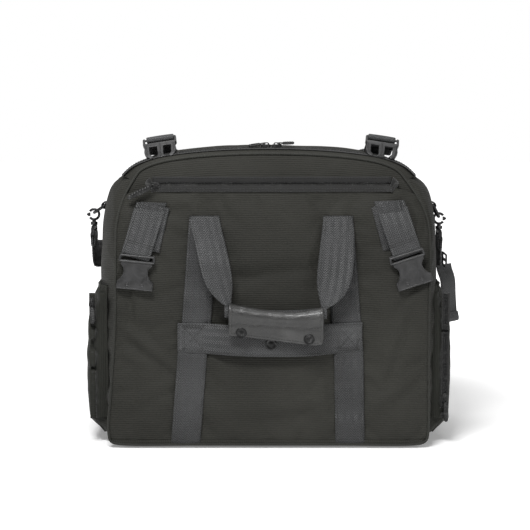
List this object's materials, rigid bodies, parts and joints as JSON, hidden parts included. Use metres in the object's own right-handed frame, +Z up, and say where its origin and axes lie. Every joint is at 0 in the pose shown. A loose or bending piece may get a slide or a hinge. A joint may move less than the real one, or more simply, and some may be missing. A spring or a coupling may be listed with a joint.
{
  "type": "flight bag",
  "caption": "Soft-sided flight bag with open front pocket, zipped lid, side pockets, webbing handles with leather grip, strap buckles and shoulder strap.",
  "frame": {"origin": "centre of the overall box, on the plane that the feet stand on", "axes": "+Z up, front pocket faces -Y, +X to the right seen from the front"},
  "size_m": [0.4893, 0.2991, 0.4079],
  "materials": {
    "shell_fabric": "woven nylon",
    "lining": "padded",
    "board": "matte",
    "piping": "satin",
    "zip_tape": "woven",
    "zip_metal": "black, semi-gloss",
    "webbing": "woven",
    "leather": "satin, grained",
    "snap_metal": "black",
    "buckle_plastic": "satin",
    "hardware": "black, semi-gloss",
    "foot_rubber": "matte"
  },
  "bodies": {
    "root": {"front_wall": "shell_fabric", "front_pocket_panel": "shell_fabric", "back_panel": "shell_fabric", "left_gusset": "shell_fabric", "right_gusset": "shell_fabric", "base_panel": "shell_fabric", "left_side_pocket": "shell_fabric", "right_side_pocket": "shell_fabric", "divider_left": "lining", "divider_right": "lining", "base_board": "board", "front_piping": "piping", "back_piping": "piping", "main_zip_front_tape": "zip_tape", "pocket_zip_tape": "zip_tape", "left_zip_tape": "zip_tape", "right_zip_tape": "zip_tape", "carry_web_left": "webbing", "carry_web_right": "webbing", "cross_strap": "webbing", "front_tabs": "webbing", "ring_tab_left": "webbing", "ring_tab_right": "webbing", "shoulder_strap": "webbing", "strap_tail": "webbing", "cross_snap": "snap_metal", "strap_slider": "buckle_plastic", "d_ring_left": "hardware", "d_ring_right": "hardware", "hook_body_left": "hardware", "hook_body_right": "hardware", "feet": "foot_rubber"},
    "lid": {"lid_panel": "shell_fabric", "main_zip_lid_tape": "zip_tape", "top_strap_left": "webbing", "top_strap_right": "webbing"},
    "plug_left": {"buckle_male_left": "buckle_plastic"},
    "plug_right": {"buckle_male_right": "buckle_plastic"},
    "front_handle": {"front_handle_web": "webbing", "handle_grip": "leather", "grip_snaps": "snap_metal"},
    "rear_handle": {"rear_handle_web": "webbing"},
    "flap_left": {"front_strap_left": "webbing"},
    "flap_right": {"front_strap_right": "webbing"},
    "socket_left": {"buckle_female_left": "buckle_plastic"},
    "socket_right": {"buckle_female_right": "buckle_plastic"},
    "zip_main_left": {"main_slider_left": "zip_metal"},
    "zip_main_right": {"main_slider_right": "zip_metal"},
    "tag_main_left": {"main_pull_left": "zip_metal"},
    "tag_main_right": {"main_pull_right": "zip_metal"},
    "zip_pocket": {"pocket_slider": "zip_metal"},
    "tag_pocket": {"pocket_pull": "zip_metal"},
    "zip_left": {"left_slider": "zip_metal"},
    "tag_left": {"left_pull": "zip_metal"},
    "zip_right": {"right_slider": "zip_metal"},
    "tag_right": {"right_pull": "zip_metal"},
    "gate_left": {"hook_gate_left": "hardware"},
    "gate_right": {"hook_gate_right": "hardware"}
  },
  "joints": [
    {"name": "lid_hinge", "type": "hinge", "parent": "root", "child": "lid", "pos_m": [0, 0.099, 0.3455], "axis": [-1, 0, 0], "range_deg": [0, 100]},
    {"name": "front_handle_hinge", "type": "hinge", "parent": "root", "child": "front_handle", "pos_m": [0.003, -0.10418, 0.2955], "axis": [-1, 0, 0], "range_deg": [0, 105]},
    {"name": "rear_handle_hinge", "type": "hinge", "parent": "root", "child": "rear_handle", "pos_m": [0.003, 0.10398, 0.2955], "axis": [1, 0, 0], "range_deg": [0, 118]},
    {"name": "flap_left_hinge", "type": "hinge", "parent": "root", "child": "flap_left", "pos_m": [-0.149, -0.10325, 0.3071], "axis": [-0.9563, 0.0153, 0.292], "range_deg": [0, 80]},
    {"name": "flap_right_hinge", "type": "hinge", "parent": "root", "child": "flap_right", "pos_m": [0.153, -0.1039, 0.3091], "axis": [-0.9426, -0.0175, -0.3333], "range_deg": [0, 80]},
    {"name": "socket_left_pivot", "type": "hinge", "parent": "flap_left", "child": "socket_left", "pos_m": [-0.16701, -0.11263, 0.2486], "axis": [-0.9563, 0.0153, 0.292], "range_deg": [0, 45]},
    {"name": "socket_right_pivot", "type": "hinge", "parent": "flap_right", "child": "socket_right", "pos_m": [0.17356, -0.11323, 0.25144], "axis": [-0.9426, -0.0175, -0.3333], "range_deg": [0, 45]},
    {"name": "plug_left_pivot", "type": "hinge", "parent": "lid", "child": "plug_left", "pos_m": [-0.14749, -0.042, 0.40106], "axis": [-0.9888, 0, -0.1495], "range_deg": [0, 60]},
    {"name": "plug_right_pivot", "type": "hinge", "parent": "lid", "child": "plug_right", "pos_m": [0.14749, -0.042, 0.40106], "axis": [-0.9888, 0, 0.1495], "range_deg": [0, 60]},
    {"name": "main_zip_left_slide", "type": "slide", "parent": "root", "child": "zip_main_left", "axis": [-1, 0, 0], "range_m": [0, 0.06]},
    {"name": "main_zip_right_slide", "type": "slide", "parent": "root", "child": "zip_main_right", "axis": [1, 0, 0], "range_m": [0, 0.06]},
    {"name": "main_tag_left_hinge", "type": "hinge", "parent": "zip_main_left", "child": "tag_main_left", "pos_m": [-0.004, -0.0562, 0.3914], "axis": [0, 1, 0], "range_deg": [0, 120]},
    {"name": "main_tag_right_hinge", "type": "hinge", "parent": "zip_main_right", "child": "tag_main_right", "pos_m": [0.0105, -0.0562, 0.3914], "axis": [0, -1, 0], "range_deg": [0, 120]},
    {"name": "pocket_zip_slide", "type": "slide", "parent": "root", "child": "zip_pocket", "axis": [1, 0, 0], "range_m": [0, 0.24]},
    {"name": "pocket_tag_hinge", "type": "hinge", "parent": "zip_pocket", "child": "tag_pocket", "pos_m": [-0.144, -0.1101, 0.337], "axis": [0, 1, 0], "range_deg": [-55, 20]},
    {"name": "left_zip_slide", "type": "slide", "parent": "root", "child": "zip_left", "axis": [0, 0, -1], "range_m": [0, 0.13]},
    {"name": "left_tag_hinge", "type": "hinge", "parent": "zip_left", "child": "tag_left", "pos_m": [-0.228, -0.1015, 0.186], "axis": [0, 1, 0], "range_deg": [-30, 30]},
    {"name": "right_zip_slide", "type": "slide", "parent": "root", "child": "zip_right", "axis": [0, 0, 1], "range_m": [0, 0.13]},
    {"name": "right_tag_hinge", "type": "hinge", "parent": "zip_right", "child": "tag_right", "pos_m": [0.228, -0.1015, 0.062], "axis": [0, 1, 0], "range_deg": [-30, 30]},
    {"name": "gate_left_pivot", "type": "hinge", "parent": "root", "child": "gate_left", "pos_m": [-0.23962, 0, 0.29013], "axis": [0, 1, 0], "range_deg": [0, 22], "stiffness_Nm_per_rad": 0.02},
    {"name": "gate_right_pivot", "type": "hinge", "parent": "root", "child": "gate_right", "pos_m": [0.2337, 0, 0.28461], "axis": [0, -1, 0], "range_deg": [0, 22], "stiffness_Nm_per_rad": 0.02}
  ]
}
